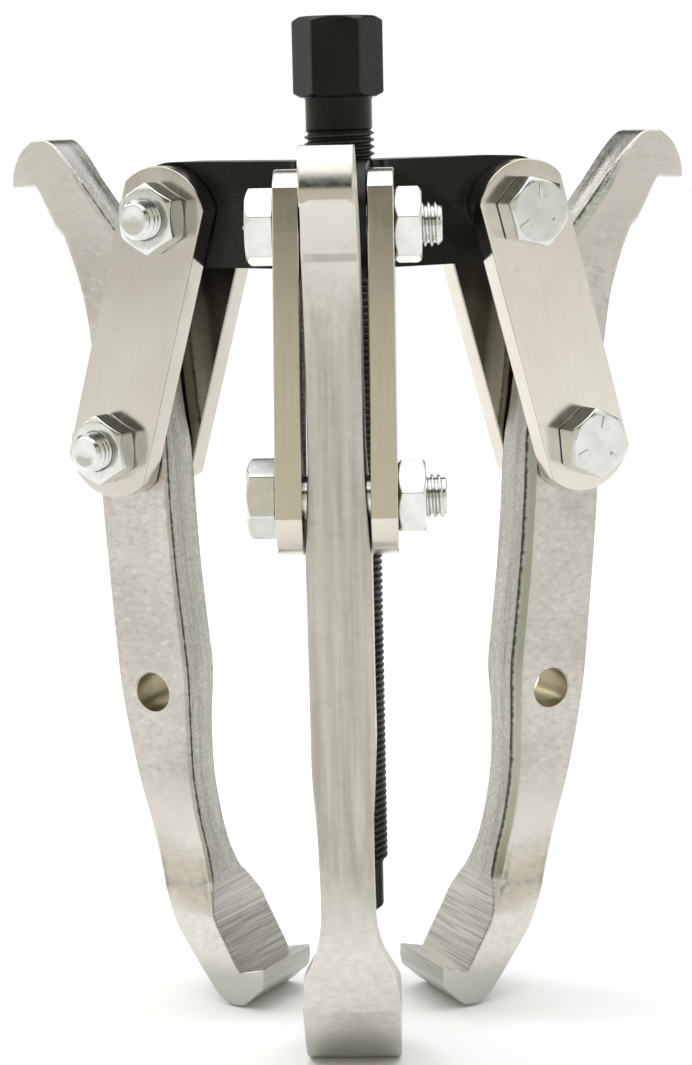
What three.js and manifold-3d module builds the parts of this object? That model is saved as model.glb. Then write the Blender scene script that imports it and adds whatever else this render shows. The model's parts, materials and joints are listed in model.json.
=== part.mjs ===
// Three-jaw reversible gear puller. Millimetres, +Z up along the forcing screw.
// The origin is the centre of the flat end of the screw's tip, which presses on the shaft.
import * as THREE from 'three';
import { mergeVertices } from 'three/addons/utils/BufferGeometryUtils.js';
import Module from 'manifold-3d';

const wasm = await Module();
wasm.setup();

// ---- Driving dimensions ----
const FIT_GAP = 0.3;              // clearance between touching pieces
const BOLT_PLANE = 180.4;         // height of the yoke bolts above the screw's tip
const BOLT_CIRCLE = 45.8;         // radius of the yoke bolts about the screw
const STRAP_LENGTH = 62.5;        // yoke bolt to jaw bolt
const STRAP_WIDTH = 25;
const STRAP_THICKNESS = 6;
const STRAP_END = 13;             // strap's end beyond the bolt's centre
const STRAP_END_RADIUS = 14.5;
const CLAMPED_THICKNESS = 14.7;   // yoke arm, and jaw at its pivots
// How the arms hang: straps tilt out from the yoke bolts, and jaws lean in from the jaw bolts.
const ARMS = [
  { name: 'front', azimuth: -90, strapTilt: 15.5, jawLean: 5.8 },
  { name: 'right', azimuth: 30, strapTilt: 16.5, jawLean: 6 },
  { name: 'left', azimuth: 150, strapTilt: 17, jawLean: 5.2 },
];

const YOKE_HEIGHT = 26.5;
const YOKE_RISE = 0.6;            // middle of the yoke's height above its bolts
const HUB_RADIUS = 17;
const YOKE_FILLET = 11;           // concave corner between two arms

const SCREW_DIAMETER = 17.4;
const NECK_DIAMETER = 16.5;
const SCREW_HEAD_FLATS = 19.5;
const SCREW_HEAD_HEIGHT = 19.5;
const SCREW_HEAD_TOP = 229;
const NECK_LENGTH = 7.4;
const TIP_DIAMETER = 14.9;
const TIP_LENGTH = 14.1;
const TIP_FACE_DIAMETER = 9;
const TIP_CHAMFER = 2.6;
const STEM_DIAMETER = 8;
const STEM_LENGTH = 13;

const BOLT_DIAMETER = 10;
const BOLT_LENGTH = 38.5;         // under the head
const HEX_FLATS = 16;             // bolt heads and nuts
const HEAD_HEIGHT = 6.4;
const NUT_HEIGHT = 6;
const HOLE_DIAMETER = BOLT_DIAMETER + 2 * FIT_GAP;

const JAW_HOLE_SPACING = 66.9;
const SHANK_THICKNESS = 12.6;
const FOOT_WIDTH = 24;
const PAD_RADIUS = 9.2;           // thick boss round each pivot hole

// ---- Colours ----
const FINISHES = {
  yoke: { color: 0x23241f, roughness: 0.45, metalness: 0.6 },
  screw: { color: 0x2b2c27, roughness: 0.4, metalness: 0.7 },
  strap: { color: 0xbdb7a6, roughness: 0.18, metalness: 1 },
  fastener: { color: 0xd3dad6, roughness: 0.28, metalness: 1 },
  jaw: { color: 0xc9c4b8, roughness: 0.42, metalness: 0.9 },
};

const rad = THREE.MathUtils.degToRad;

// ---- Solids ----
function solid(geometry) {
  const bare = geometry.index ? geometry.toNonIndexed() : geometry.clone();
  bare.deleteAttribute('normal');
  bare.deleteAttribute('uv');
  const merged = mergeVertices(bare, 1e-5);
  return new wasm.Manifold(new wasm.Mesh({
    numProp: 3,
    vertProperties: new Float32Array(merged.attributes.position.array),
    triVerts: new Uint32Array(merged.index.array),
  }));
}

function toGeometry(manifold) {
  const { vertProperties, triVerts } = manifold.getMesh();
  const geometry = new THREE.BufferGeometry();
  geometry.setAttribute('position', new THREE.BufferAttribute(vertProperties, 3));
  geometry.setIndex(new THREE.BufferAttribute(triVerts, 1));
  return geometry;
}

/** A flat outline in X and Z, extruded symmetrically along Y. */
function plate(shape, thickness, curveSegments = 12) {
  const geometry = new THREE.ExtrudeGeometry(shape, { depth: thickness, bevelEnabled: false, curveSegments });
  geometry.translate(0, 0, -thickness / 2);
  geometry.rotateX(Math.PI / 2);
  return solid(geometry);
}

/** A solid of revolution about Z from [radius, height] pairs, first and last on the axis. */
function turned(profile, segments = 48) {
  const points = profile.map(([radius, height]) => new THREE.Vector2(radius, height));
  const geometry = new THREE.LatheGeometry(points, segments);
  geometry.rotateX(Math.PI / 2);
  return solid(geometry);
}

function cylinder(diameter, bottom, top, segments = 32) {
  const geometry = new THREE.CylinderGeometry(diameter / 2, diameter / 2, top - bottom, segments);
  geometry.rotateX(Math.PI / 2);
  geometry.translate(0, 0, (bottom + top) / 2);
  return solid(geometry);
}

/** A hexagonal prism about Z whose corners are cut by a cone at the ends named. */
function hexPrism(flats, bottom, top, { cutTop = true, cutBottom = false } = {}) {
  const corner = flats / Math.sqrt(3);
  const face = 0.475 * flats;
  const drop = (corner - face) * Math.tan(rad(30));
  const prism = new THREE.CylinderGeometry(corner, corner, top - bottom, 6);
  prism.rotateX(Math.PI / 2);
  prism.translate(0, 0, (bottom + top) / 2);
  const profile = [[0, bottom]];
  if (cutBottom) profile.push([face, bottom], [corner, bottom + drop]);
  else profile.push([corner, bottom]);
  if (cutTop) profile.push([corner, top - drop], [face, top]);
  else profile.push([corner, top]);
  profile.push([0, top]);
  return solid(prism).intersect(turned(profile, 48));
}

/** Turns a solid built about Z so that its axis points along +Y. */
function alongY(manifold) {
  return manifold.rotate([-90, 0, 0]);
}

function node(name, manifold, finish) {
  const mesh = new THREE.Mesh(toGeometry(manifold), new THREE.MeshStandardMaterial(finish));
  mesh.name = name;
  return mesh;
}

// ---- Yoke ----
function yokeOutline() {
  const half = CLAMPED_THICKNESS / 2;
  const shape = new THREE.Shape();
  // The fillet's centre lies on the bisector of two arms, tangent to both their sides.
  const filletRadius = (YOKE_FILLET + half) / Math.sin(rad(60));
  ARMS.forEach((_, index) => {
    const turn = rad(120 * index);
    const place = (x, y) => [x * Math.cos(turn) - y * Math.sin(turn), x * Math.sin(turn) + y * Math.cos(turn)];
    const start = place(BOLT_CIRCLE, -half);
    if (index === 0) shape.moveTo(...start);
    else shape.lineTo(...start);
    shape.lineTo(...place(BOLT_CIRCLE, half));
    const centre = place(filletRadius * Math.cos(rad(60)), filletRadius * Math.sin(rad(60)));
    shape.absarc(...centre, YOKE_FILLET, turn + rad(-90), turn + rad(-150), true);
  });
  shape.closePath();
  return shape;
}

function yokeArmEnd() {
  const radius = YOKE_HEIGHT / 2;
  const shape = new THREE.Shape();
  shape.moveTo(HUB_RADIUS, -radius);
  shape.lineTo(BOLT_CIRCLE, -radius);
  shape.absarc(BOLT_CIRCLE, 0, radius, rad(-90), rad(90), false);
  shape.lineTo(HUB_RADIUS, radius);
  shape.closePath();
  return plate(shape, CLAMPED_THICKNESS, 24);
}

function buildYoke() {
  const body = new THREE.ExtrudeGeometry(yokeOutline(), {
    depth: YOKE_HEIGHT, bevelEnabled: false, curveSegments: 8,
  });
  body.translate(0, 0, -YOKE_HEIGHT / 2);
  let yoke = solid(body).add(cylinder(2 * HUB_RADIUS, -YOKE_HEIGHT / 2, YOKE_HEIGHT / 2, 64));
  for (let arm = 0; arm < ARMS.length; arm += 1) {
    yoke = yoke.add(yokeArmEnd().rotate([0, 0, 120 * arm]));
  }
  yoke = yoke.translate([0, 0, YOKE_RISE]);
  for (let arm = 0; arm < ARMS.length; arm += 1) {
    const hole = alongY(cylinder(HOLE_DIAMETER, -CLAMPED_THICKNESS, CLAMPED_THICKNESS));
    yoke = yoke.subtract(hole.translate([BOLT_CIRCLE, 0, 0]).rotate([0, 0, 120 * arm]));
  }
  const screwHole = cylinder(SCREW_DIAMETER + 2 * FIT_GAP, -YOKE_HEIGHT, YOKE_HEIGHT, 64);
  return yoke.subtract(screwHole).rotate([0, 0, ARMS[0].azimuth]);
}

// ---- Forcing screw and its tip ----
function buildScrew() {
  const headBottom = SCREW_HEAD_TOP - SCREW_HEAD_HEIGHT;
  const neckBottom = headBottom - NECK_LENGTH;
  const bottom = TIP_LENGTH + FIT_GAP;
  const thread = SCREW_DIAMETER / 2;
  const neck = NECK_DIAMETER / 2;
  const shaft = turned([
    [0, bottom], [thread - 1, bottom], [thread, bottom + 1], [thread, neckBottom - 0.6],
    [neck, neckBottom], [neck, headBottom + 1], [0, headBottom + 1],
  ], 64);
  const head = hexPrism(SCREW_HEAD_FLATS, headBottom, SCREW_HEAD_TOP, { cutBottom: true });
  const socket = cylinder(STEM_DIAMETER + 2 * FIT_GAP, bottom - 1, TIP_LENGTH + STEM_LENGTH + FIT_GAP);
  return shaft.add(head).subtract(socket);
}

function buildTip() {
  const radius = TIP_DIAMETER / 2;
  return turned([
    [0, 0], [TIP_FACE_DIAMETER / 2, 0], [radius, TIP_CHAMFER], [radius, TIP_LENGTH],
    [STEM_DIAMETER / 2, TIP_LENGTH], [STEM_DIAMETER / 2, TIP_LENGTH + STEM_LENGTH], [0, TIP_LENGTH + STEM_LENGTH],
  ], 48);
}

// ---- Straps, bolts and nuts ----
/** A strap hanging from the origin along -Z, its thickness centred on Y = 0. */
function buildStrap() {
  const half = STRAP_WIDTH / 2;
  const centre = STRAP_END - STRAP_END_RADIUS;
  const sweep = Math.asin(half / STRAP_END_RADIUS);
  const shape = new THREE.Shape();
  shape.absarc(0, centre, STRAP_END_RADIUS, rad(90) - sweep, rad(90) + sweep, false);
  shape.absarc(0, -STRAP_LENGTH - centre, STRAP_END_RADIUS, rad(270) - sweep, rad(270) + sweep, false);
  shape.closePath();
  let strap = plate(shape, STRAP_THICKNESS);
  for (const height of [0, -STRAP_LENGTH]) {
    const hole = alongY(cylinder(HOLE_DIAMETER, -STRAP_THICKNESS, STRAP_THICKNESS));
    strap = strap.subtract(hole.translate([0, 0, height]));
  }
  return strap;
}

const STRAP_OFFSET = CLAMPED_THICKNESS / 2 + FIT_GAP + STRAP_THICKNESS / 2;
const SEAT = STRAP_OFFSET + STRAP_THICKNESS / 2 + FIT_GAP;    // head and nut seats

/** A bolt along +Y: head on the -Y side, thread end chamfered. */
function buildBolt(turn) {
  const end = BOLT_LENGTH - SEAT;
  const radius = BOLT_DIAMETER / 2;
  const head = hexPrism(HEX_FLATS, SEAT, SEAT + HEAD_HEIGHT).rotate([180, 0, 0]);
  const shank = turned([
    [0, -SEAT - 1], [radius, -SEAT - 1], [radius, end - 1.2], [radius - 1.2, end], [0, end],
  ], 32);
  return alongY(head.rotate([0, 0, turn]).add(shank));
}

function buildNut(turn) {
  const hole = cylinder(HOLE_DIAMETER, SEAT - 1, SEAT + NUT_HEIGHT + 1);
  const nut = hexPrism(HEX_FLATS, SEAT, SEAT + NUT_HEIGHT, { cutBottom: true });
  return alongY(nut.rotate([0, 0, turn]).subtract(hole));
}

// ---- Jaw ----
// Its own frame: pivot hole in use at the origin, spare hole below it on -Z, +X away from the screw.
const HEEL = [-20.3, -150.9];            // lowest point of the foot
const GRIP_CORNER = [-22.3, -141.3];     // where the foot's wall meets its gripping face
const GRIP_TIP = [-29.5, -140];
const BEAK_CORNER = [20.9, 69.4];
const BEAK_TIP = [29.2, 70];

function jawOutline() {
  const points = (list) => list.map(([x, z]) => new THREE.Vector2(x, z));
  const shape = new THREE.Shape();
  shape.moveTo(...BEAK_TIP);
  // over the top of the beak and down the upper arm's inner side
  shape.lineTo(28.5, 73);
  shape.splineThru(points([[26.2, 77.6], [20.8, 81.8], [15.2, 81], [11, 76.6]]));
  shape.lineTo(-2.4, 56.9);
  shape.splineThru(points([[-8.7, 47.6], [-11.6, 37], [-12.1, 15], [-12.9, 0], [-12.3, -12]]));
  // inner side of the shank, with the slight swelling at the spare hole
  shape.splineThru(points([[-11.8, -36], [-11.9, -61], [-10.1, -77], [-9.2, -93], [-10.9, -107], [-15.6, -126]]));
  shape.lineTo(...GRIP_CORNER);
  shape.lineTo(...GRIP_TIP);
  // round the blunt tip to the heel and up the outer side
  shape.lineTo(-29.4, -143.6);
  shape.quadraticCurveTo(-28.7, -146, -26.3, -147.6);
  shape.quadraticCurveTo(-23.2, -150.3, ...HEEL);
  shape.quadraticCurveTo(-16.6, -151.2, -14.3, -148.1);
  shape.lineTo(-3.6, -130.5);
  shape.splineThru(points([[-1.3, -124], [5.8, -104], [9.6, -84], [10.3, -66], [10.1, -36], [9, -8], [8.4, 26],
    [9.9, 43]]));
  shape.lineTo(13.4, 56);
  shape.lineTo(15.8, 58.2);
  shape.lineTo(...BEAK_CORNER);
  shape.closePath();
  return shape;
}

/** The jaw's width seen from the front: slim shank, foot flaring out below it. */
function jawFrontOutline() {
  const slim = SHANK_THICKNESS / 2;
  const wide = FOOT_WIDTH / 2;
  const shape = new THREE.Shape();
  const side = [[slim, 90], [slim, -101], [7.2, -107.5], [9.1, -113.5], [11.1, -120], [wide, -127], [wide, -142],
    [wide - 0.7, -152]];
  shape.moveTo(...side[0]);
  side.slice(1).forEach(([y, z]) => shape.lineTo(y, z));
  side.reverse().forEach(([y, z]) => shape.lineTo(-y, z));
  shape.closePath();
  return shape;
}

/** The thicker pads that the straps clamp: one boss at each hole and the full width between them. */
function jawPadOutline() {
  const shape = new THREE.Shape();
  const edge = 16;                 // beyond the jaw's own sides
  const shoulder = JAW_HOLE_SPACING + 3;
  shape.moveTo(edge, -5);
  shape.lineTo(PAD_RADIUS, -3);
  shape.absarc(0, 0, PAD_RADIUS, rad(-10), rad(190), false);
  shape.lineTo(-edge, -5);
  shape.lineTo(-edge, -shoulder);
  shape.lineTo(-PAD_RADIUS, -shoulder - 1);
  shape.absarc(0, -JAW_HOLE_SPACING, PAD_RADIUS, rad(205), rad(335), false);
  shape.lineTo(edge, -shoulder);
  shape.closePath();
  return shape;
}

function buildJaw() {
  const profile = plate(jawOutline(), 2 * FOOT_WIDTH, 6);
  const front = plate(jawFrontOutline(), 160).rotate([0, 0, 90]);
  const pad = plate(jawPadOutline(), CLAMPED_THICKNESS, 10);
  let jaw = profile.intersect(front.add(pad));
  for (const height of [0, -JAW_HOLE_SPACING]) {
    const hole = alongY(cylinder(HOLE_DIAMETER, -FOOT_WIDTH, FOOT_WIDTH));
    jaw = jaw.subtract(hole.translate([0, 0, height]));
  }
  return jaw;
}

// ---- Assembly ----
function buildArm({ name, azimuth, strapTilt, jawLean }) {
  const arm = new THREE.Group();
  arm.rotation.z = rad(azimuth);
  const link = new THREE.Group();
  link.position.set(BOLT_CIRCLE, 0, BOLT_PLANE);
  link.rotation.y = rad(-strapTilt);
  arm.add(link);

  for (const [letter, side] of [['a', -1], ['b', 1]]) {
    const strap = node(`strap_${letter}_${name}`, buildStrap(), FINISHES.strap);
    strap.position.y = side * STRAP_OFFSET;
    link.add(strap);
  }
  for (const [which, height, headTurn, nutTurn] of [['yoke', 0, 4, 8], ['jaw', -STRAP_LENGTH, 22, 30]]) {
    const bolt = node(`${which}_bolt_${name}`, buildBolt(headTurn), FINISHES.fastener);
    const nut = node(`${which}_nut_${name}`, buildNut(nutTurn), FINISHES.fastener);
    bolt.position.z = height;
    nut.position.z = height;
    link.add(bolt, nut);
  }

  const jaw = node(`jaw_${name}`, buildJaw(), FINISHES.jaw);
  jaw.position.z = -STRAP_LENGTH;
  jaw.rotation.y = rad(strapTilt + jawLean);
  link.add(jaw);
  return arm;
}

const puller = new THREE.Group();
const yoke = node('yoke', buildYoke(), FINISHES.yoke);
yoke.position.z = BOLT_PLANE;
puller.add(yoke);
puller.add(node('forcing_screw', buildScrew(), FINISHES.screw));
puller.add(node('screw_tip', buildTip(), FINISHES.screw));
ARMS.forEach((arm) => puller.add(buildArm(arm)));

export default puller;
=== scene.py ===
"""Looks for the three-jaw gear puller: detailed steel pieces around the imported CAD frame, in a plain studio.

Lengths in the piece functions are millimetres, turned into metres when a mesh is made.
"""

import json
import math

import bmesh
import bpy
import numpy as np
from mathutils import Matrix, Vector


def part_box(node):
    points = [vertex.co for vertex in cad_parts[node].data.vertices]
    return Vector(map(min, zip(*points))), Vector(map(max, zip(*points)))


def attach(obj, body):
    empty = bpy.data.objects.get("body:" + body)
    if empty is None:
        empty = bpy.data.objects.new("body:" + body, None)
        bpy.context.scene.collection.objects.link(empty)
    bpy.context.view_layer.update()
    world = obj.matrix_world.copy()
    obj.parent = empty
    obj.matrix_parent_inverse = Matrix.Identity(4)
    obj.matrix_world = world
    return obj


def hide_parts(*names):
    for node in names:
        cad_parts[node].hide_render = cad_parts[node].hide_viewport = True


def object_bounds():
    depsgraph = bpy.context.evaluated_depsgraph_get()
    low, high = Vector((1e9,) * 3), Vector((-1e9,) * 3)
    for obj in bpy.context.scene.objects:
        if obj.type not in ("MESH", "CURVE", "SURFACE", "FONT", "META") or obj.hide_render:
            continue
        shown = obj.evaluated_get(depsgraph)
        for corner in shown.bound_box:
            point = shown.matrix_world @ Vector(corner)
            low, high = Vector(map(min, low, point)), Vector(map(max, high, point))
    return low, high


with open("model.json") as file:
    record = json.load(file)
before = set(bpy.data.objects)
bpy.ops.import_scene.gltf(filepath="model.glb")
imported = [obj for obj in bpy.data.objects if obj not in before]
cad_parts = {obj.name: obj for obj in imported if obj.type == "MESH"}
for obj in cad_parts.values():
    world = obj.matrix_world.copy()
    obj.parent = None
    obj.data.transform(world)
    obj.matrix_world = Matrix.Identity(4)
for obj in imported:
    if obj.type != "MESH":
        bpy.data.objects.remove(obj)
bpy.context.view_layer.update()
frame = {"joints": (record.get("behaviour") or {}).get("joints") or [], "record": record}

MM = 0.001
ARMS = ("front", "right", "left")
joints = {joint["name"]: joint for joint in frame["joints"]}
mounts = {mount["name"]: mount for mount in frame["record"]["mounts"]}
rad = math.radians


# ---------------------------------------------------------------- places from the frame

def columns(x_axis, y_axis, z_axis, origin):
    """The matrix whose axes and origin are these vectors."""
    matrix = Matrix((x_axis, y_axis, z_axis)).transposed().to_4x4()
    matrix.translation = origin
    return matrix


class Arm:
    """One arm's link frame and jaw frame: X away from the screw, Y along the bolts, Z up."""

    GRIP = (-25.9, -140.65)          # middle of the gripping face in the jaw's own X and Z

    def __init__(self, name):
        self.name = name
        self.bolt = Vector(joints[f"link_swing_{name}"]["pos_m"])
        self.pivot = Vector(joints[f"jaw_swing_{name}"]["pos_m"])
        self.tangent = Vector(joints[f"jaw_swing_{name}"]["axis"]).normalized()
        self.radial = self.tangent.cross(Vector((0, 0, 1)))
        up = (self.bolt - self.pivot).normalized()
        out = self.tangent.cross(up)
        self.link = columns(out, self.tangent, up, self.bolt)
        self.length = (self.bolt - self.pivot).length / MM
        grip = Vector(mounts[f"grip_{name}"]["pos_m"]) - self.pivot
        lean = math.atan2(grip.dot(self.radial), grip.z) - math.atan2(*self.GRIP)
        jaw_out = self.radial * math.cos(lean) - Vector((0, 0, math.sin(lean)))
        jaw_up = self.radial * math.sin(lean) + Vector((0, 0, math.cos(lean)))
        self.jaw = columns(jaw_out, self.tangent, jaw_up, self.pivot)


arms = {name: Arm(name) for name in ARMS}
bolt_plane = arms["front"].bolt.z


# ---------------------------------------------------------------- mesh tools

def new_mesh(name, points, faces):
    mesh = bpy.data.meshes.new(name)
    mesh.from_pydata([tuple(c * MM for c in point) for point in points], [], faces)
    mesh.validate()
    return mesh


def loft(name, rings, cap_start=True, cap_end=True, wrap=False):
    """A skin over closed rings that all have the same number of points."""
    count = len(rings[0])
    points = [tuple(point) for ring in rings for point in ring]
    faces = []
    pairs = len(rings) if wrap else len(rings) - 1
    for i in range(pairs):
        low = i * count
        high = ((i + 1) % len(rings)) * count
        for k in range(count):
            nxt = (k + 1) % count
            faces.append((low + k, low + nxt, high + nxt, high + k))
    if cap_start and not wrap:
        faces.append(tuple(reversed(range(count))))
    if cap_end and not wrap:
        faces.append(tuple(range((len(rings) - 1) * count, len(rings) * count)))
    return new_mesh(name, points, faces)


def clean(mesh, merge=1e-6):
    """Welds points that coincide and turns every face outward."""
    bm = bmesh.new()
    bm.from_mesh(mesh)
    bmesh.ops.remove_doubles(bm, verts=bm.verts, dist=merge)
    bmesh.ops.dissolve_degenerate(bm, edges=bm.edges, dist=merge / 2)
    bmesh.ops.recalc_face_normals(bm, faces=bm.faces)
    bm.to_mesh(mesh)
    bm.free()
    return mesh


def circle(radius, z, count):
    return [(radius * math.cos(a), radius * math.sin(a), z)
            for a in np.linspace(0, 2 * math.pi, count, endpoint=False)]


def turned(name, profile, count=64):
    """A solid of revolution about Z from [radius, height] pairs, none of them on the axis."""
    return clean(loft(name, [circle(radius, z, count) for radius, z in profile]))


def shade(mesh, angle=30):
    """Smooth shading that keeps flat faces flat beside their small rounded edges."""
    mesh.shade_smooth()
    mesh.set_sharp_from_angle(angle=rad(angle))
    return modified(mesh, ("WEIGHTED_NORMAL", {"mode": "FACE_AREA", "weight": 100, "keep_sharp": True}))


def joined(name, meshes):
    """One mesh out of several, kept as separate closed shells."""
    bm = bmesh.new()
    for mesh in meshes:
        bm.from_mesh(mesh)
    out = bpy.data.meshes.new(name)
    bm.to_mesh(out)
    bm.free()
    return out


def modified(mesh, *steps):
    """The mesh after modifiers, each given as (type, {setting: value})."""
    holder = bpy.data.objects.new("working", mesh)
    bpy.context.scene.collection.objects.link(holder)
    for kind, settings in steps:
        modifier = holder.modifiers.new(kind, kind)
        for key, value in settings.items():
            setattr(modifier, key, value)
    bpy.context.view_layer.update()
    evaluated = holder.evaluated_get(bpy.context.evaluated_depsgraph_get())
    out = bpy.data.meshes.new_from_object(evaluated)
    bpy.data.objects.remove(holder)
    out.name = mesh.name
    return out


def bevelled(mesh, width, segments=2, angle=25):
    return modified(mesh, ("BEVEL", {
        "width": width * MM, "segments": segments, "limit_method": "ANGLE", "angle_limit": rad(angle),
        "harden_normals": False,
    }))


def boolean(mesh, operation, tools):
    """The mesh after an exact boolean with each tool mesh in turn."""
    for tool in tools:
        holder = bpy.data.objects.new("tool", tool)
        bpy.context.scene.collection.objects.link(holder)
        mesh = modified(mesh, ("BOOLEAN", {"operation": operation, "solver": "EXACT", "object": holder}))
        bpy.data.objects.remove(holder)
    return mesh


def moved(mesh, matrix):
    out = mesh.copy()
    out.transform(matrix)
    return out


def plate(name, loops, thickness, bevel, segments=2):
    """A flat plate in X and Z with holes and rounded edges, its thickness centred on Y = 0."""
    curve = bpy.data.curves.new(name, "CURVE")
    curve.dimensions = "2D"
    curve.fill_mode = "BOTH"
    curve.extrude = (thickness / 2 - bevel) * MM
    curve.bevel_depth = bevel * MM
    curve.bevel_resolution = segments
    curve.offset = -bevel * MM
    for loop in loops:
        spline = curve.splines.new("POLY")
        spline.points.add(len(loop) - 1)
        for point, (x, z) in zip(spline.points, loop):
            point.co = (x * MM, z * MM, 0, 1)
        spline.use_cyclic_u = True
    mesh = modified_curve(curve)
    mesh.transform(Matrix.Rotation(rad(90), 4, "X"))
    return clean(mesh)


def modified_curve(curve):
    holder = bpy.data.objects.new("working", curve)
    bpy.context.scene.collection.objects.link(holder)
    bpy.context.view_layer.update()
    out = bpy.data.meshes.new_from_object(holder.evaluated_get(bpy.context.evaluated_depsgraph_get()))
    bpy.data.objects.remove(holder)
    return out


def arc(cx, cy, radius, start, end, count):
    """Points along an arc whose angles are given in degrees."""
    angles = np.linspace(rad(start), rad(end), count)
    return [(cx + radius * math.cos(a), cy + radius * math.sin(a)) for a in angles]


def place(name, mesh, matrix, body, material, replaces):
    """Puts a finished piece in the scene, riding on its body.

    Its own coordinates are kept in an attribute for its material.
    """
    own = np.empty(len(mesh.vertices) * 3, np.float32)
    mesh.vertices.foreach_get("co", own)
    mesh.attributes.new("own", "FLOAT_VECTOR", "POINT").data.foreach_set("vector", own)
    mesh.transform(matrix)
    obj = bpy.data.objects.new(name, mesh)
    bpy.context.scene.collection.objects.link(obj)
    mesh.materials.clear()
    mesh.materials.append(material)
    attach(obj, body)
    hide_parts(*replaces)
    return obj


# ---------------------------------------------------------------- materials

class Nodes:
    """A short way to write a node tree."""

    def __init__(self, name):
        self.material = bpy.data.materials.new(name)
        self.material.use_nodes = True
        self.tree = self.material.node_tree
        self.tree.nodes.clear()
        self.output = self.tree.nodes.new("ShaderNodeOutputMaterial")
        self.shader = self.tree.nodes.new("ShaderNodeBsdfPrincipled")
        self.tree.links.new(self.shader.outputs[0], self.output.inputs[0])
        self.own = self.tree.nodes.new("ShaderNodeAttribute")
        self.own.attribute_name = "own"

    def link(self, source, target):
        self.tree.links.new(source, target)

    def put(self, socket, value):
        if hasattr(value, "links"):
            self.link(value, socket)
        else:
            socket.default_value = value

    def where(self, scale=(1, 1, 1), offset=(0, 0, 0)):
        """The piece's own coordinates in metres, stretched and shifted."""
        mapping = self.tree.nodes.new("ShaderNodeMapping")
        self.link(self.own.outputs["Vector"], mapping.inputs["Vector"])
        mapping.inputs["Scale"].default_value = scale
        mapping.inputs["Location"].default_value = offset
        return mapping.outputs[0]

    def noise(self, vector, scale, detail=3, roughness=0.5, distortion=0):
        node = self.tree.nodes.new("ShaderNodeTexNoise")
        self.link(vector, node.inputs["Vector"])
        node.inputs["Scale"].default_value = scale
        node.inputs["Detail"].default_value = detail
        node.inputs["Roughness"].default_value = roughness
        node.inputs["Distortion"].default_value = distortion
        return node.outputs["Fac"]

    def remap(self, value, low, high, to_low=0, to_high=1):
        node = self.tree.nodes.new("ShaderNodeMapRange")
        self.put(node.inputs["Value"], value)
        for key, number in (("From Min", low), ("From Max", high), ("To Min", to_low), ("To Max", to_high)):
            node.inputs[key].default_value = number
        return node.outputs[0]

    def math(self, operation, first, second=0.0):
        node = self.tree.nodes.new("ShaderNodeMath")
        node.operation = operation
        self.put(node.inputs[0], first)
        self.put(node.inputs[1], second)
        return node.outputs[0]

    def mix(self, factor, first, second):
        node = self.tree.nodes.new("ShaderNodeMix")
        node.data_type = "RGBA"
        self.put(node.inputs["Factor"], factor)
        for socket, colour in ((node.inputs[6], first), (node.inputs[7], second)):
            self.put(socket, colour if hasattr(colour, "links") else (*colour, 1))
        return node.outputs[2]

    def attribute(self, name):
        node = self.tree.nodes.new("ShaderNodeAttribute")
        node.attribute_name = name
        return node.outputs["Fac"]

    def along(self, axis):
        """The piece's own X, Y or Z, in metres."""
        split = self.tree.nodes.new("ShaderNodeSeparateXYZ")
        self.link(self.own.outputs["Vector"], split.inputs[0])
        return split.outputs[axis]

    def inside_bores(self):
        """1 on the walls of a jaw's two holes, 0 elsewhere."""
        split = self.tree.nodes.new("ShaderNodeSeparateXYZ")
        self.link(self.own.outputs["Vector"], split.inputs[0])
        total = 0.0
        for hole in (0, HOLE_SPACING * MM):
            along = self.math("ADD", split.outputs["Z"], hole)
            squares = self.math("ADD", self.math("MULTIPLY", split.outputs["X"], split.outputs["X"]),
                                self.math("MULTIPLY", along, along))
            radius = self.math("POWER", squares, 0.5)
            total = self.math("ADD", total, self.math("LESS_THAN", radius, (HOLE_RADIUS + 0.1) * MM))
        return total

    def bump(self, height, strength, distance, normal=None):
        node = self.tree.nodes.new("ShaderNodeBump")
        node.inputs["Strength"].default_value = strength
        node.inputs["Distance"].default_value = distance
        self.link(height, node.inputs["Height"])
        if normal is not None:
            self.link(normal, node.inputs["Normal"])
        return node.outputs[0]

    def finish(self, colour, roughness, metallic=1.0, normal=None, **more):
        self.put(self.shader.inputs["Base Color"], colour if hasattr(colour, "links") else (*colour, 1))
        self.put(self.shader.inputs["Roughness"], roughness)
        self.shader.inputs["Metallic"].default_value = metallic
        if normal is not None:
            self.link(normal, self.shader.inputs["Normal"])
        for key, value in more.items():
            self.put(self.shader.inputs[key.replace("_", " ")], value)
        return self.material


def strap_steel(seed, painted_shade_factor=1.0):
    n = Nodes("strap_steel")
    cloud = n.noise(n.where(offset=(seed, 0, 0)), 45, 4, 0.55)
    fine = n.noise(n.where((1, 1, 0.12), (0, seed, 0)), 900, 2)
    speck = n.noise(n.where(offset=(0, 0, seed)), 420, 2)
    # The factor darkens this copy of the steel as painted shade for a pair of straps that sits in shade.
    colour = n.mix(n.remap(cloud, 0.35, 0.68), [c * painted_shade_factor for c in (0.63, 0.595, 0.52)],
                   [c * painted_shade_factor for c in (0.71, 0.68, 0.61)])
    colour = n.mix(n.remap(speck, 0.70, 0.78, 0, 0.35), colour, (0.42, 0.39, 0.33))
    rough = n.math("ADD", n.remap(cloud, 0.3, 0.7, 0.13, 0.22), n.remap(fine, 0.3, 0.7, -0.02, 0.03))
    normal = n.bump(fine, 0.12, 0.00002)
    normal = n.bump(cloud, 0.10, 0.0004, normal)
    return n.finish(colour, rough, normal=normal)


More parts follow.
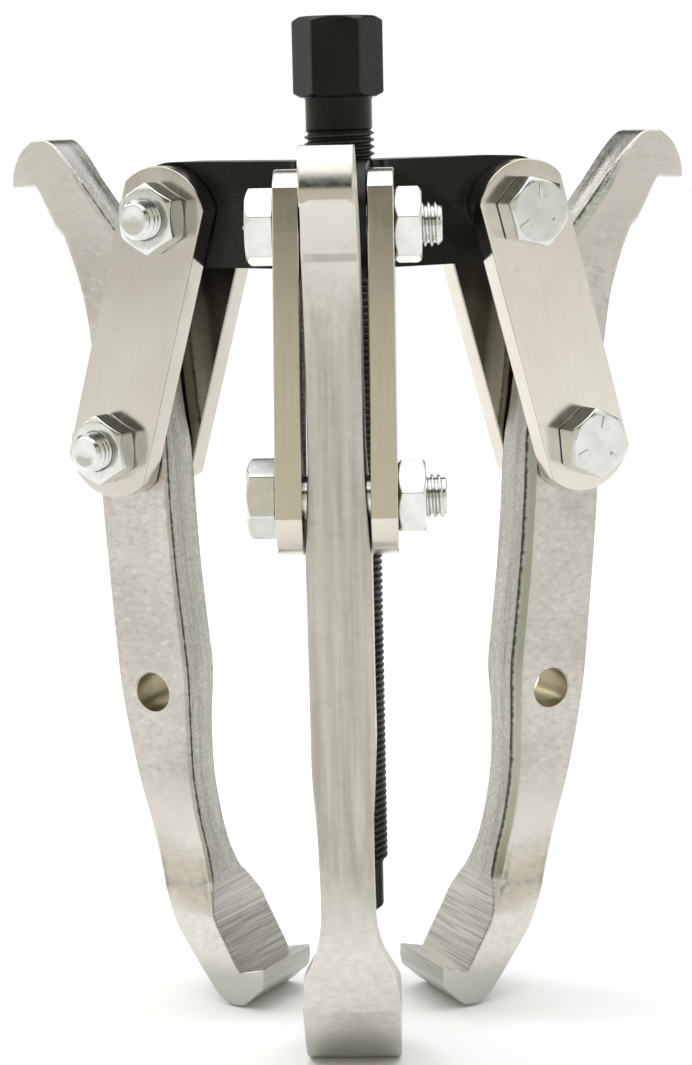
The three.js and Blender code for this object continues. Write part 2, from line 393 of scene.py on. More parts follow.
def zinc_plate(seed):
    n = Nodes("zinc_plate")
    cloud = n.noise(n.where(offset=(seed, 0, 0)), 160, 3)
    grain = n.noise(n.where(offset=(0, seed, 0)), 1100, 2)
    stain = n.noise(n.where(offset=(0, 0, seed)), 420, 3, 0.6)
    colour = n.mix(n.remap(cloud, 0.35, 0.65), (0.62, 0.635, 0.595), (0.73, 0.745, 0.72))
    colour = n.mix(n.remap(stain, 0.62, 0.74, 0, 0.4), colour, (0.40, 0.43, 0.38))
    rough = n.remap(grain, 0.3, 0.7, 0.15, 0.23)
    normal = n.bump(grain, 0.05, 0.00003)
    return n.finish(colour, rough, normal=n.bump(cloud, 0.08, 0.0003, normal))


def forged_jaw(seed):
    """Ground sides, grainy forged inner sides with a painted shade line in the crease along each edge, and a
    milled foot.
    """
    n = Nodes("forged_jaw")
    grainy = n.attribute("grainy")
    machined = n.attribute("machined")
    crease_shade = n.attribute("crease_shade")
    outside = n.attribute("outside")
    cloud = n.noise(n.where(offset=(seed, 0, 0)), 38, 4, 0.6)
    mottle = n.noise(n.where((1, 1, 1.6), (0, seed, 0)), 430, 4, 0.65)
    cross = n.noise(n.where((0.06, 1, 1), (0, 0, seed)), 520, 2)
    grain = n.noise(n.where(offset=(seed, seed, 0)), 1300, 3, 0.7)
    streak = n.noise(n.where((1, 1, 0.035), (seed, 0, 0)), 330, 3, 0.6)
    cutter = n.noise(n.where((0.25, 0.02, 1), (0, 0, seed)), 2600, 1)
    ground = n.mix(n.remap(cloud, 0.32, 0.70), (0.46, 0.44, 0.395), (0.60, 0.575, 0.53))
    ground = n.mix(n.remap(mottle, 0.50, 0.72, 0, 0.6), ground, (0.36, 0.345, 0.295))
    ground = n.mix(n.remap(mottle, 0.42, 0.30, 0, 0.5), ground, (0.74, 0.71, 0.67))
    drawn = n.mix(n.remap(streak, 0.36, 0.62), (0.31, 0.30, 0.245), (0.48, 0.46, 0.395))
    colour = n.mix(n.math("MULTIPLY", outside, 0.75), ground, drawn)
    ridges = n.noise(n.where((1, 1, 0.05), (0, seed, seed)), 750, 3, 0.6)
    # Knee and beak are freshly ground; the foot's blunt end and underside are painted darker, as painted shade
    # under the foot.
    knee = n.remap(n.along("Z"), -0.088, -0.112, 0, 0.95)
    beak = n.remap(n.along("Z"), 0.045, 0.065, 0, 0.5)
    fresh = n.mix(n.remap(mottle, 0.35, 0.7), (0.66, 0.64, 0.59), (0.80, 0.78, 0.74))
    colour = n.mix(n.math("ADD", knee, beak), colour, fresh)
    # Painted shade: the bottom of the foot darkens towards its underside and blunt end.
    colour = n.mix(n.remap(n.along("Z"), -0.136, -0.143, 0, 0.75), colour, (0.43, 0.44, 0.40))
    forged = n.mix(n.remap(grain, 0.34, 0.64), (0.39, 0.385, 0.345), (0.62, 0.61, 0.57))
    forged = n.mix(n.remap(ridges, 0.40, 0.62, 0, 0.55), forged, (0.36, 0.36, 0.31))
    forged = n.mix(n.remap(ridges, 0.66, 0.72, 0, 0.6), forged, (0.16, 0.165, 0.12))
    colour = n.mix(n.math("MULTIPLY", grainy, 0.9), colour, forged)
    bevel = n.attribute("bevel")
    colour = n.mix(n.math("MULTIPLY", bevel, 0.9), colour, (0.46, 0.48, 0.39))
    lines = n.mix(n.remap(cutter, 0.36, 0.60), (0.33, 0.325, 0.285), (0.60, 0.58, 0.54))
    colour = n.mix(n.math("MULTIPLY", machined, 0.75), colour, lines)
    # Painted shade: a near-black ragged line in the crease along the forged edge, with grain bumps there too.
    ragged = n.math("ADD", crease_shade, n.remap(mottle, 0.3, 0.7, -0.30, 0.22))
    colour = n.mix(n.remap(ragged, 0.46, 0.80, 0, 0.9), colour, (0.075, 0.08, 0.05))
    bore = n.inside_bores()
    colour = n.mix(n.math("MULTIPLY", bore, 0.8), colour, (0.27, 0.225, 0.10))
    # The middle of the beak's top is polished.
    crown = n.math("LESS_THAN", n.math("ABSOLUTE", n.along("Y")), 0.0054)
    polished = n.math("MULTIPLY", n.remap(n.along("Z"), 0.060, 0.067), crown)
    matt = n.math("SUBTRACT", 1.0, polished)
    rough = n.math("SUBTRACT", n.remap(mottle, 0.3, 0.7, 0.29, 0.41), n.math("MULTIPLY", polished, 0.16))
    rough = n.math("ADD", rough, n.math("MULTIPLY", grainy, 0.08))
    surface = n.bump(cross, 0.10, 0.0001)
    surface = n.bump(n.math("MULTIPLY", mottle, matt), 0.30, 0.0003, surface)
    surface = n.bump(n.math("MULTIPLY", grain, n.math("ADD", grainy, crease_shade)), 0.35, 0.0003, surface)
    surface = n.bump(n.math("MULTIPLY", streak, outside), 0.25, 0.0004, surface)
    surface = n.bump(n.math("MULTIPLY", cutter, machined), 0.25, 0.00015, surface)
    return n.finish(colour, rough, normal=surface)


def black_yoke():
    n = Nodes("black_yoke")
    cloud = n.noise(n.where(), 40, 3)
    grain = n.noise(n.where(), 1500, 3, 0.7)
    colour = n.mix(n.remap(grain, 0.50, 0.75), (0.0045, 0.005, 0.003), (0.020, 0.021, 0.014))
    rough = n.remap(cloud, 0.3, 0.7, 0.30, 0.44)
    return n.finish(colour, rough, 0.0, n.bump(grain, 0.25, 0.00016), IOR=1.31)


def black_oxide(seed):
    n = Nodes("black_oxide")
    cloud = n.noise(n.where(offset=(seed, 0, 0)), 70, 3)
    grain = n.noise(n.where((1, 1, 0.3)), 900, 2)
    crest = n.attribute("crest")
    worn = n.math("MULTIPLY", crest, n.remap(cloud, 0.25, 0.7, 0.15, 0.7))
    colour = n.mix(n.remap(cloud, 0.3, 0.7), (0.004, 0.0045, 0.0025), (0.011, 0.0115, 0.007))
    colour = n.mix(worn, colour, (0.10, 0.10, 0.08))
    rough = n.remap(grain, 0.3, 0.7, 0.24, 0.36)
    return n.finish(colour, rough, 0.0, n.bump(grain, 0.2, 0.00008), IOR=1.26)


def floor_paint():
    n = Nodes("floor_paint")
    return n.finish((0.985, 0.985, 0.98), 0.9, 0.0)


# ---------------------------------------------------------------- threads and hexagons

def thread_mesh(name, major, root, pitch, low, high, taper, count=48):
    """A right-hand threaded rod from low to high on Z, its ends coned down by taper."""
    profile = ((0.0, 0.0), (0.12, 0.0), (0.42, 1.0), (0.58, 1.0), (0.88, 0.0))
    turns = range(math.floor(low / pitch) - 2, math.ceil(high / pitch) + 2)
    heights = [(turn + part) * pitch for turn in turns for part, _ in profile]
    depths = [level for _ in turns for _, level in profile]
    points = []
    crest = []
    for height, level in zip(heights, depths):
        for k in range(count):
            angle = 2 * math.pi * k / count
            z = min(max(height + pitch * k / count, low), high)
            limit = major - max(0, taper[0] - (z - low)) - max(0, taper[1] - (high - z))
            radius = min(root + (major - root) * level, limit)
            points.append((radius * math.cos(angle), radius * math.sin(angle), z))
            crest.append(1.0 if level and radius > major - 0.05 else 0.0)
    faces = []
    # The last column joins the first one pitch higher, which is one profile further along.
    step = len(profile)
    for j in range(len(heights) - 1):
        here = j * count
        above = here + count
        for k in range(count):
            if k < count - 1:
                faces.append((here + k, here + k + 1, above + k + 1, above + k))
            elif j + 1 + step < len(heights):
                faces.append((here + k, here + step * count, above + step * count, above + k))
    mesh = new_mesh(name, points, faces)
    attribute = mesh.attributes.new("crest", "FLOAT", "POINT")
    attribute.data.foreach_set("value", crest)
    return mesh


def hex_angles(per_side=14):
    """Angles round a hexagon, closest together near its corners at 0, 60, 120 degrees and so on."""
    steps = np.linspace(-1, 1, per_side, endpoint=False)
    bunched = [math.copysign(abs(step) ** 1.7, step) for step in steps]
    return [rad(60 * side + 30 * step) for side in range(6) for step in bunched]


def hex_radius(angle, flats, sharpness=70):
    """Distance to a hexagon's side, with slightly rounded corners at 0, 60 and so on degrees."""
    total = sum(max(0.0, math.cos(angle - rad(30 + 60 * side))) ** sharpness for side in range(6))
    return flats / 2 / total ** (1 / sharpness)


def hexagon(name, flats, low, high, chamfer_low, chamfer_high, bore=None):
    """A hexagonal head or nut about Z. The cone that cuts its corners leaves curved edges on the sides."""
    angles = hex_angles()
    face = 0.476 * flats
    slope = math.tan(rad(30))

    def ring(radius, z):
        return [(radius * math.cos(a), radius * math.sin(a), z) for a in angles]

    def side(z, sign):
        out = []
        for a in angles:
            radius = hex_radius(a, flats)
            drop = max(0.0, radius - face) * slope if sign else 0.0
            out.append((radius * math.cos(a), radius * math.sin(a), z - sign * drop))
        return out

    rings = []
    inner = bore if bore else 0.6
    if bore:
        rings.append(ring(bore, low + 0.5))
        rings.append(ring(bore + 0.5, low))
    else:
        rings.append(ring(inner, low))
    if chamfer_low:
        rings.append(ring(face, low))
        rings.append(side(low, -1))
    else:
        rings.append(side(low, 0))
    rings.append(side(high, 1) if chamfer_high else side(high, 0))
    if chamfer_high:
        rings.append(ring(face, high))
    if bore:
        rings.append(ring(bore + 0.55, high))
        rings.append(ring(bore, high - 0.55))
    else:
        rings.append(ring(inner, high))
    mesh = loft(name, rings, cap_start=not bore, cap_end=not bore, wrap=bool(bore))
    return clean(mesh)


# ---------------------------------------------------------------- the studio and the camera

def build_studio():
    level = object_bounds()[0].z
    bpy.ops.mesh.primitive_circle_add(vertices=128, radius=6, fill_type="NGON", location=(0, 0, level))
    floor = bpy.context.object
    floor.name = "floor"
    floor.data.materials.append(floor_paint())

    world = bpy.data.worlds.new("studio")
    bpy.context.scene.world = world
    world.use_nodes = True
    tree = world.node_tree
    tree.nodes.clear()
    out = tree.nodes.new("ShaderNodeOutputWorld")
    background = tree.nodes.new("ShaderNodeBackground")
    coords = tree.nodes.new("ShaderNodeTexCoord")
    split = tree.nodes.new("ShaderNodeSeparateXYZ")
    forward = tree.nodes.new("ShaderNodeMapRange")
    sides = tree.nodes.new("ShaderNodeMix")
    sides.data_type = "RGBA"
    tree.links.new(coords.outputs["Generated"], split.inputs[0])
    tree.links.new(split.outputs["Y"], forward.inputs["Value"])
    forward.inputs["From Min"].default_value = 0.2
    forward.inputs["From Max"].default_value = -0.2
    tree.links.new(forward.outputs[0], sides.inputs["Factor"])
    # What the polished steel mirrors, as the sine of the height above the horizon: behind the object white
    # with one dark band, in front of it warm grey, a dark band and white. Both are brighter overhead.
    white, bright = (1, 1, 1), (1.65, 1.65, 1.69)
    dark_behind, dark_ahead = (0.09, 0.095, 0.08), (0.05, 0.055, 0.045)
    floor_grey, warm_grey = (0.70, 0.69, 0.63), (0.76, 0.72, 0.59)
    behind = ((0.0, white), (0.27, white), (0.35, dark_behind), (0.56, dark_behind), (0.68, bright),
              (1.0, bright))
    ahead = ((0.0, floor_grey), (0.08, floor_grey), (0.15, warm_grey), (0.44, warm_grey),
             (0.51, dark_ahead), (0.70, dark_ahead), (0.82, (1.7, 1.7, 1.7)), (1.0, bright))
    for levels, socket in ((behind, sides.inputs[6]), (ahead, sides.inputs[7])):
        ramp = tree.nodes.new("ShaderNodeValToRGB")
        tree.links.new(split.outputs["Z"], ramp.inputs[0])
        tree.links.new(ramp.outputs[0], socket)
        elements = ramp.color_ramp.elements
        elements[0].position, elements[0].color = levels[0][0], (*levels[0][1], 1)
        elements[1].position, elements[1].color = levels[-1][0], (*levels[-1][1], 1)
        for position, colour in levels[1:-1]:
            elements.new(position).color = (*colour, 1)
    tree.links.new(sides.outputs[2], background.inputs[0])
    tree.links.new(background.outputs[0], out.inputs[0])
    background.inputs["Strength"].default_value = 1.0

    def softbox(name, location, size, power, colour):
        light = bpy.data.lights.new(name, "AREA")
        light.shape = "RECTANGLE"
        light.size, light.size_y = size
        light.energy = power
        light.color = colour
        holder = bpy.data.objects.new(name, light)
        bpy.context.scene.collection.objects.link(holder)
        holder.location = location
        aim = Vector((0, 0, 0.08)) - Vector(location)
        holder.rotation_euler = aim.to_track_quat("-Z", "Y").to_euler()

    softbox("overhead", (0.0, 0.1, 1.6), (1.8, 1.4), 3, (1.0, 1.0, 1.0))
    softbox("key_left", (-1.6, -0.25, 1.25), (0.9, 1.1), 3, (1.0, 0.975, 0.93))
    softbox("fill_right", (1.6, -0.25, 1.25), (0.9, 1.1), 3, (0.98, 0.98, 1.0))
    softbox("back_left", (-1.05, 0.62, 0.90), (0.5, 0.5), 4.0, (1.0, 0.975, 0.94))


def build_camera():
    """The photograph's viewpoint: a long lens close to the front arm, turned slightly and tipped down."""
    yaw, pitch, roll = rad(-1.842), rad(10.199), rad(-1.229)
    forward = Vector((math.sin(yaw) * math.cos(pitch), math.cos(yaw) * math.cos(pitch), -math.sin(pitch)))
    level = Vector((math.cos(yaw), -math.sin(yaw), 0))
    above = level.cross(forward)
    right = level * math.cos(roll) + above * math.sin(roll)
    up = above * math.cos(roll) - level * math.sin(roll)
    data = bpy.data.cameras.new("camera")
    data.lens = 80.0
    data.sensor_width = 36.0
    data.clip_end = 50
    camera = bpy.data.objects.new("camera", data)
    bpy.context.scene.collection.objects.link(camera)
    position = Vector((0.018592, -0.591042, 0.026819 + bolt_plane))
    camera.matrix_world = columns(right, up, -forward, position)
    bpy.context.scene.camera = camera


# ---------------------------------------------------------------- yoke

HOLE_RADIUS = 5.2                 # of the bolt holes in the yoke and the jaws
HOLE_SPACING = 66.9               # between a jaw's two holes
YOKE_HEIGHT = 26.5
YOKE_RISE = 0.6                   # middle of the yoke's height above its bolts
ARM_THICKNESS = 14.7
YOKE_BORE_RADIUS = 8.75
YOKE_FILLET = 11.0                # between two arms, seen from above


def prism(name, outline, low, high):
    """A sharp-edged solid over an outline in X and Y."""
    return clean(loft(name, [[(x, y, z) for x, y in outline] for z in (low, high)]))


def merged_flats(mesh):
    """Joins neighbouring faces that lie in one plane, so that a bevel sees only real edges."""
    bm = bmesh.new()
    bm.from_mesh(mesh)
    bmesh.ops.remove_doubles(bm, verts=bm.verts, dist=0.00002)
    bmesh.ops.dissolve_limit(bm, angle_limit=rad(0.5), verts=bm.verts, edges=bm.edges)
    bm.to_mesh(mesh)
    bm.free()
    return mesh


def build_yoke():
    reach = arms["front"].bolt.to_2d().length / MM
    half = YOKE_HEIGHT / 2
    arm_half = ARM_THICKNESS / 2
    # Seen from above: an arc between each pair of arms, tangent to both.
    centre = (YOKE_FILLET + arm_half) / math.sin(rad(60))
    outline = []
    for index in range(3):
        turn = 120 * index
        stub = Matrix.Rotation(rad(turn), 2)
        for x, y in ((reach, -arm_half), (reach, arm_half)):
            outline.append(tuple(stub @ Vector((x, y))))
        cx, cy = centre * math.cos(rad(turn + 60)), centre * math.sin(rad(turn + 60))
        outline += arc(cx, cy, YOKE_FILLET, turn - 90, turn - 150, 14)
    body = prism("yoke_hub", outline, -half, half)
    upright = Matrix.Rotation(rad(90), 4, "X")
    end = prism("yoke_end", arc(0, 0, half, 5, 360, 72), -arm_half, arm_half)
    pin = turned("pin", [(HOLE_RADIUS, -half), (HOLE_RADIUS, half)], 48)
    ends = []
    tools = [turned("bore", [(YOKE_BORE_RADIUS, -half - 1), (YOKE_BORE_RADIUS, half + 1)], 96)]
    for index in range(3):
        at_end = Matrix.Rotation(rad(120 * index), 4, "Z") @ Matrix.Translation((reach * MM, 0, 0))
        ends.append(moved(end, at_end @ upright))
        tools.append(moved(pin, at_end @ Matrix.Translation((0, 0, -YOKE_RISE * MM)) @ upright))
    mesh = boolean(boolean(body, "UNION", ends), "DIFFERENCE", tools)
    mesh = bevelled(merged_flats(mesh), 1.0, 3, 35)
    mesh.name = "yoke_body"
    turn = math.atan2(arms["front"].radial.y, arms["front"].radial.x)
    matrix = Matrix.Translation((0, 0, bolt_plane + YOKE_RISE * MM)) @ Matrix.Rotation(turn, 4, "Z")
    place("yoke_body", shade(mesh), matrix, "yoke", black_yoke(), ["yoke"])


# ---------------------------------------------------------------- forcing screw and tip

PITCH = 1.68                      # of the forcing screw's thread
SCREW_RADIUS = 8.68
SCREW_ROOT = 7.75
SCREW_HEAD = 19.5                 # both its height and its width across flats
SCREW_HEAD_TURN = -1.5            # degrees
NECK_LENGTH = 7.4


def build_screw():
    head_top = mounts["screw_head"]["pos_m"][2] / MM
    head_low = head_top - SCREW_HEAD
    neck_low = head_low - NECK_LENGTH
    tip_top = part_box("forcing_screw")[0].z / MM
    thread = thread_mesh("thread", SCREW_RADIUS, SCREW_ROOT, PITCH, tip_top, neck_low, (1.0, 0.9), 56)
    neck = turned("neck", [(7.6, neck_low - 0.8), (8.2, neck_low - 0.2), (8.2, head_low - 0.6),
                           (8.5, head_low + 0.1), (8.5, head_low + 1)], 72)
    head = bevelled(hexagon("head", SCREW_HEAD, head_low, head_top, True, True), 0.3)
    head.transform(Matrix.Rotation(rad(SCREW_HEAD_TURN), 4, "Z"))
    for mesh in (neck, head):
        mesh.attributes.new("crest", "FLOAT", "POINT")
    mesh = joined("screw_body", [clean(thread), neck, head])
    place("screw_body", shade(mesh, 28), Matrix.Identity(4), "screw", black_oxide(0.3), ["forcing_screw"])

    tip = turned("tip_body", [(1.2, 0.35), (2.0, 0.0), (4.5, 0.0), (7.3, 2.45), (7.45, 2.8), (7.45, 13.6),
                              (7.2, 14.1), (4, 14.1), (4, 27)], 72)
    place("tip_body", shade(tip, 25), Matrix.Identity(4), "tip", black_oxide(0.9), ["screw_tip"])


# ---------------------------------------------------------------- straps, bolts and nuts

STRAP_THICKNESS = 6.0
STRAP_OFFSET = ARM_THICKNESS / 2 + 0.3 + STRAP_THICKNESS / 2
STRAP_HALF_WIDTH = 12.5
STRAP_END_RADIUS = 14.5
STRAP_OVERHANG = 13.0             # from a hole's centre to the strap's end
STRAP_HOLE_RADIUS = 5.15
SEAT = STRAP_OFFSET + STRAP_THICKNESS / 2
FASTENER_FLATS = 16.0
WASHER_FACE = 0.35                # height of the round face under a bolt's head
BOLT_HEAD = 6.7
BOLT_LENGTH = 38.5                # under the head
BOLT_RADIUS = 5.0
BOLT_ROOT = 4.2
BOLT_PITCH = 1.5
NUT_HEIGHT = 6.3


def strap_mesh(length):
    sweep = math.degrees(math.asin(STRAP_HALF_WIDTH / STRAP_END_RADIUS))
    rise = STRAP_OVERHANG - STRAP_END_RADIUS
    top = arc(0, rise, STRAP_END_RADIUS, 90 - sweep, 90 + sweep, 28)
    bottom = arc(0, -length - rise, STRAP_END_RADIUS, 270 - sweep, 270 + sweep, 28)
    holes = [arc(0, z, STRAP_HOLE_RADIUS, 360, 0, 40)[:-1] for z in (0, -length)]
    return shade(plate("strap", [top + bottom] + holes, STRAP_THICKNESS, 0.35, 2), 35)


def bolt_mesh():
    """A bolt along +Z, its head at -Z: washer face, chamfered head with three plain dashes, thread."""
    end = BOLT_LENGTH - SEAT - 0.3
    head = hexagon("head", FASTENER_FLATS, SEAT + WASHER_FACE, SEAT + BOLT_HEAD, False, True)
    washer = turned("washer", [(4, SEAT), (7.5, SEAT), (7.6, SEAT + WASHER_FACE), (4, SEAT + 0.6)], 72)
    head = bevelled(head, 0.22)
    dashes = []
    for index in range(3):
        dash = plate("dash", [[(-0.38, -1.5), (0.38, -1.5), (0.38, 1.5), (-0.38, 1.5)]], 0.7, 0.15, 1)
        dash.transform(Matrix.Rotation(rad(90), 4, "X"))
        shift = Matrix.Translation((0, 5.6 * MM, (SEAT + BOLT_HEAD) * MM))
        dash.transform(Matrix.Rotation(rad(120 * index + 15), 4, "Z") @ shift)
        dashes.append(dash)
    top = joined("bolt_head", [head, washer, *dashes])
    top.transform(Matrix.Rotation(rad(180), 4, "X"))
    shank = turned("shank", [(BOLT_RADIUS, -SEAT - 0.5), (BOLT_RADIUS, 9.0)], 48)
    thread = clean(thread_mesh("thread", BOLT_RADIUS, BOLT_ROOT, BOLT_PITCH, 8.0, end, (0.2, 1.1), 48))
    cup = turned("cup", [(3.9, end - 0.4), (3.9, end), (3.3, end + 0.05), (2.2, end - 0.25),
                         (0.8, end - 0.35)], 48)
    return shade(joined("bolt", [top, shank, thread, cup]), 28)


def nut_mesh():
    nut = bevelled(hexagon("nut", FASTENER_FLATS, SEAT, SEAT + NUT_HEIGHT, True, True, bore=4.75), 0.2)
    return shade(nut, 28)


def along_bolt(arm, height, turn):
    """The link frame moved down to a bolt's height, with Z turned to run along the bolt."""
    to_bolt = Matrix.Rotation(rad(-90), 4, "X")
    return arm.link @ Matrix.Translation((0, 0, height * MM)) @ to_bolt @ Matrix.Rotation(rad(turn), 4, "Z")


# The left pair of straps is painted darker than the others, as painted shade: a shaded copy of the same steel.
STRAP_PAINTED_SHADE = {"front": 1.0, "right": 0.99, "left": 0.83}
# How far each bolt head and nut happens to be turned, in degrees.
HEX_TURNS = {
    ("yoke", "front"): (-2, 1.5), ("jaw", "front"): (33, 2),
    ("yoke", "right"): (30, 12), ("jaw", "right"): (41, 20),
    ("yoke", "left"): (12, 47), ("jaw", "left"): (22, 48),
}


def build_links():
    strap = strap_mesh(arms["front"].length)
    bolt = bolt_mesh()
    nut = nut_mesh()
    for index, (name, arm) in enumerate(arms.items()):
        body = f"link_{name}"
        steel = strap_steel(0.7 * index, STRAP_PAINTED_SHADE[name])
        zinc = zinc_plate(0.4 * index)
        for letter, sign in (("a", -1), ("b", 1)):
            matrix = arm.link @ Matrix.Translation((0, sign * STRAP_OFFSET * MM, 0))
            place(f"strap_plate_{letter}_{name}", strap.copy(), matrix, body, steel,
                  [f"strap_{letter}_{name}"])
        for which, height in (("yoke", 0), ("jaw", -arm.length)):
            head_turn, nut_turn = HEX_TURNS[which, name]
            place(f"bolt_{which}_{name}", bolt.copy(), along_bolt(arm, height, head_turn), body, zinc,
                  [f"{which}_bolt_{name}"])
            place(f"nut_{which}_{name}", nut.copy(), along_bolt(arm, height, nut_turn), body, zinc,
                  [f"{which}_nut_{name}"])


# ---------------------------------------------------------------- jaws

# Stations down the jaw, from the beak's tip to the foot's tip: inner edge (x, z), outer edge (x, z), half
# thickness at each of them, and how rough the inner side is. X is away from the screw, Z is up, and the
# origin is the pivot hole in use. A row that ends in True ends one smooth run and starts the next.
STATIONS = [
    ((29.0, 70.9), (28.7, 70.0), 5.7, 5.7, 0, False),
    ((28.2, 74.2), (25.7, 69.8), 5.8, 5.8, 0, False),
    ((25.2, 78.8), (23.0, 69.7), 5.9, 5.9, 0, False),
    ((20.7, 81.7), (20.9, 69.5), 5.9, 5.9, 0, True),
    ((15.4, 80.9), (19.7, 66.9), 5.9, 5.9, 0, False),
    ((10.9, 76.4), (18.0, 63.1), 6.0, 6.0, 0.3, False),
    ((4.2, 66.6), (15.8, 58.3), 6.2, 6.2, 1, True),
    ((0.9, 61.8), (13.6, 55.9), 6.25, 6.25, 1, True),
    ((-5.0, 53.2), (11.6, 49.5), 6.25, 6.25, 1, False),
    ((-9.2, 45.5), (9.9, 42.5), 6.25, 6.25, 1, False),
    ((-11.4, 37.0), (8.9, 35.5), 6.25, 6.25, 1, False),
    ((-11.9, 24.0), (8.4, 24.0), 6.25, 6.25, 1, False),
    ((-12.2, 9.0), (8.5, 9.0), 6.4, 6.4, 1, False),
    ((-12.8, 0.0), (8.9, -2.0), 6.9, 6.9, 1, False),
    ((-12.5, -9.0), (9.4, -10.0), 7.35, 7.35, 1, False),
    ((-12.0, -20.0), (9.8, -20.0), 7.35, 7.35, 1, False),
    ((-11.7, -36.0), (10.1, -36.0), 7.35, 7.35, 1, False),
    ((-11.9, -52.0), (10.3, -52.0), 7.35, 7.35, 1, False),
    ((-11.9, -62.7), (10.3, -64.0), 7.35, 7.35, 1, False),
    ((-10.3, -75.5), (9.9, -77.0), 6.45, 6.6, 1, False),
    ((-9.3, -90.0), (8.4, -90.5), 6.25, 6.3, 1, False),
    ((-10.1, -102.0), (6.0, -102.0), 6.3, 6.4, 1, False),
    ((-11.5, -110.0), (3.8, -110.0), 6.5, 7.6, 1, False),
    ((-13.2, -117.0), (1.3, -117.2), 7.9, 9.8, 0.9, False),
    ((-14.0, -120.0), (0.2, -120.0), 9.2, 10.9, 0.45, False),
    ((-15.5, -125.5), (-1.9, -126.0), 11.6, 11.8, 0, False),
    ((-16.4, -128.5), (-3.6, -130.5), 12.0, 12.0, 0, True),
    ((-19.4, -135.0), (-9.8, -140.9), 12.0, 12.0, 0, False),
    ((-21.4, -139.4), (-14.3, -148.1), 12.0, 11.9, 0, True),
    ((-22.3, -141.3), (-17.6, -150.4), 11.8, 11.7, 0, True),
    ((-24.5, -140.9), (-21.8, -150.6), 11.7, 11.6, 0, False),
    ((-27.0, -140.5), (-26.2, -147.6), 11.6, 11.6, 0, False),
    ((-28.6, -140.2), (-28.5, -145.8), 11.5, 11.5, 0, False),
    ((-29.4, -140.1), (-29.3, -143.6), 11.4, 11.4, 0, False),
]
STATION_STEP = 0.8


def smooth_run(rows):
    """Catmull-Rom through the rows of one run, sampled about every STATION_STEP millimetres."""
    rows = np.array(rows)
    ends = np.vstack([2 * rows[0] - rows[1], rows, 2 * rows[-1] - rows[-2]])
    out = []
    for i in range(1, len(ends) - 2):
        before, here, there, after = ends[i - 1:i + 3]
        reach = max(math.hypot(*(there - here)[0:2]), math.hypot(*(there - here)[2:4]))
        count = max(1, round(reach / STATION_STEP))
        for t in np.arange(count) / count:
            square = 2 * before - 5 * here + 4 * there - after
            cube = 3 * here - before - 3 * there + after
            out.append(0.5 * (2 * here + (there - before) * t + square * t ** 2 + cube * t ** 3))
    out.append(rows[-1])
    return out


def jaw_sections():
    runs = [[]]
    for inner, outer, *rest, breaks in STATIONS:
        row = [*inner, *outer, *rest]
        runs[-1].append(row)
        if breaks:
            runs.append([row])
    sections = []
    for run in runs:
        if len(run) > 1:
            sections += smooth_run(run)[:-1]
    return sections + [np.array(runs[-1][-1])]


def ramp(value, low, high):
    t = min(max((value - low) / (high - low), 0.0), 1.0)
    return t * t * (3 - 2 * t)


SIDE_COLUMNS = 20
FOOT_INSIDE_START = (-121.5, -116)     # Z over which the milled inside of the foot fades in
FOOT_INSIDE_END = -141.4


def half_ring(width, half_in, half_out, rough, level, wide):
    """One side of a jaw's cross section, from its inner side's middle to its outer side's middle.

    Each point is [distance from the inner edge, distance from the middle, grainy, crease shade, outside,
    bevel]. The forged edge is a narrow scaly corner on one side of the jaw, with painted shade in its
    crease, and a broad smooth bevel on the other.
    """
    across = 0.3 + (2.1 if wide else 0.7) * rough
    along = 0.3 + (1.9 if wide else 0.8) * rough
    across, along = min(across, 0.3 * half_in), min(along, 0.3 * width)
    edge = 0.35 + 0.35 * ramp(level, 75, 60)
    edge = min(edge, 0.3 * width)
    crease = half_in - across
    flat = rough if wide else 0.0
    points = [(-0.12 * rough, 0.3 * crease, rough, 0, 0, 0),
              (0, 0.62 * crease, rough, 0, 0, 0),
              (0, crease - 0.6 * rough - 0.02, rough, 0.15 * rough, 0, 0),
              (0.12 * rough, crease - 0.05, rough, rough, 0, 0),
              (0.12 * rough + 0.15 * along, crease + 0.15 * across, 0.8 * rough, 0.75 * rough, 0, 0),
              (0.5 * along, crease + 0.5 * across, 0.5 * (rough - flat), 0, 0, flat),
              (along, half_in, 0, 0, 0, 0.8 * flat),
              (along + 0.05 * (width - along), half_in, 0, 0, 0, 0)]
    for k in range(1, SIDE_COLUMNS):
        s = along + (width - along - edge) * (0.06 + 0.94 * k / SIDE_COLUMNS)
        points.append((s, half_in + (half_out - half_in) * s / width, 0, 0, 0, 0))
    points += [(width - edge, half_out, 0, 0, 0.2, 0),
               (width - 0.25 * edge, half_out - 0.3 * edge, 0, 0, 0.8, 0),
               (width, half_out - edge, 0, 0, 1, 0),
               (width + 0.08, half_out * 0.4, 0, 0, 1, 0)]
    return points


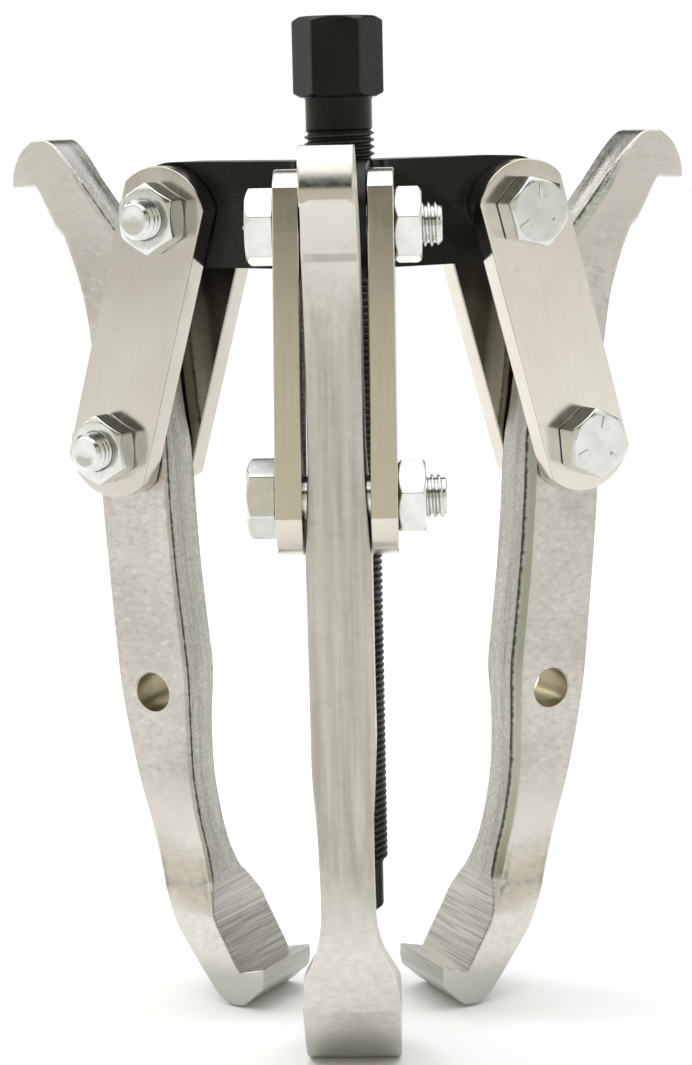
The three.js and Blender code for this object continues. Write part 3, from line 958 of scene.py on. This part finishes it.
def jaw_mesh():
    values = {"grainy": [], "machined": [], "crease_shade": [], "outside": [], "bevel": []}
    rings = []
    for inner_x, inner_z, outer_x, outer_z, half_in, half_out, rough in jaw_sections():
        inner = np.array((inner_x, inner_z))
        outer = np.array((outer_x, outer_z))
        width = np.linalg.norm(outer - inner)
        direction = (outer - inner) / width
        level = (inner_z + outer_z) / 2
        sizes = (width, half_in, half_out, rough, level)
        plus = half_ring(*sizes, wide=False)
        minus = [(s, -t, *rest) for s, t, *rest in reversed(half_ring(*sizes, wide=True))]
        middle_in = (-0.3 * rough, 0.0, rough, 0, 0, 0)
        middle_out = (width + 0.12, 0.0, 0, 0, 1, 0)
        loop = []
        for s, t, grainy, crease_shade, outside, bevel in [middle_in, *plus, middle_out, *minus]:
            x, z = inner + direction * s
            milled = s < 0.31 and inner_z > FOOT_INSIDE_END
            foot = 1 - ramp(inner_z, *FOOT_INSIDE_START) if milled else 0.0
            loop.append((x, t, z))
            values["grainy"].append(grainy)
            values["machined"].append(foot)
            # The crease shade column marks where the painted shade line goes.
            values["crease_shade"].append(crease_shade)
            values["outside"].append(outside * (1 - ramp(level, 40, 62)))
            values["bevel"].append(bevel)
        rings.append(loop)
    mesh = loft("jaw", rings)
    for key, numbers in values.items():
        attribute = mesh.attributes.new(key, "FLOAT", "POINT")
        attribute.data.foreach_set("value", numbers)
    bm = bmesh.new()
    bm.from_mesh(mesh)
    bmesh.ops.recalc_face_normals(bm, faces=bm.faces)
    bm.to_mesh(mesh)
    bm.free()
    tools = []
    flare = HOLE_RADIUS + 0.4
    for z in (0, -HOLE_SPACING):
        hole = turned("hole", [(flare, -9), (flare, -7.25), (HOLE_RADIUS, -6.85), (HOLE_RADIUS, 6.85),
                               (flare, 7.25), (flare, 9)], 64)
        hole.transform(Matrix.Translation((0, 0, z * MM)) @ Matrix.Rotation(rad(-90), 4, "X"))
        tools.append(hole)
    return shade(boolean(mesh, "DIFFERENCE", tools), 32)


def build_jaws():
    mesh = jaw_mesh()
    for index, (name, arm) in enumerate(arms.items()):
        place(f"jaw_forging_{name}", mesh.copy(), arm.jaw, f"hook_{name}", forged_jaw(0.9 * index + 0.2),
              [f"jaw_{name}"])


bpy.context.scene.view_settings.view_transform = "Standard"
build_camera()
build_studio()
build_yoke()
build_screw()
build_links()
build_jaws()
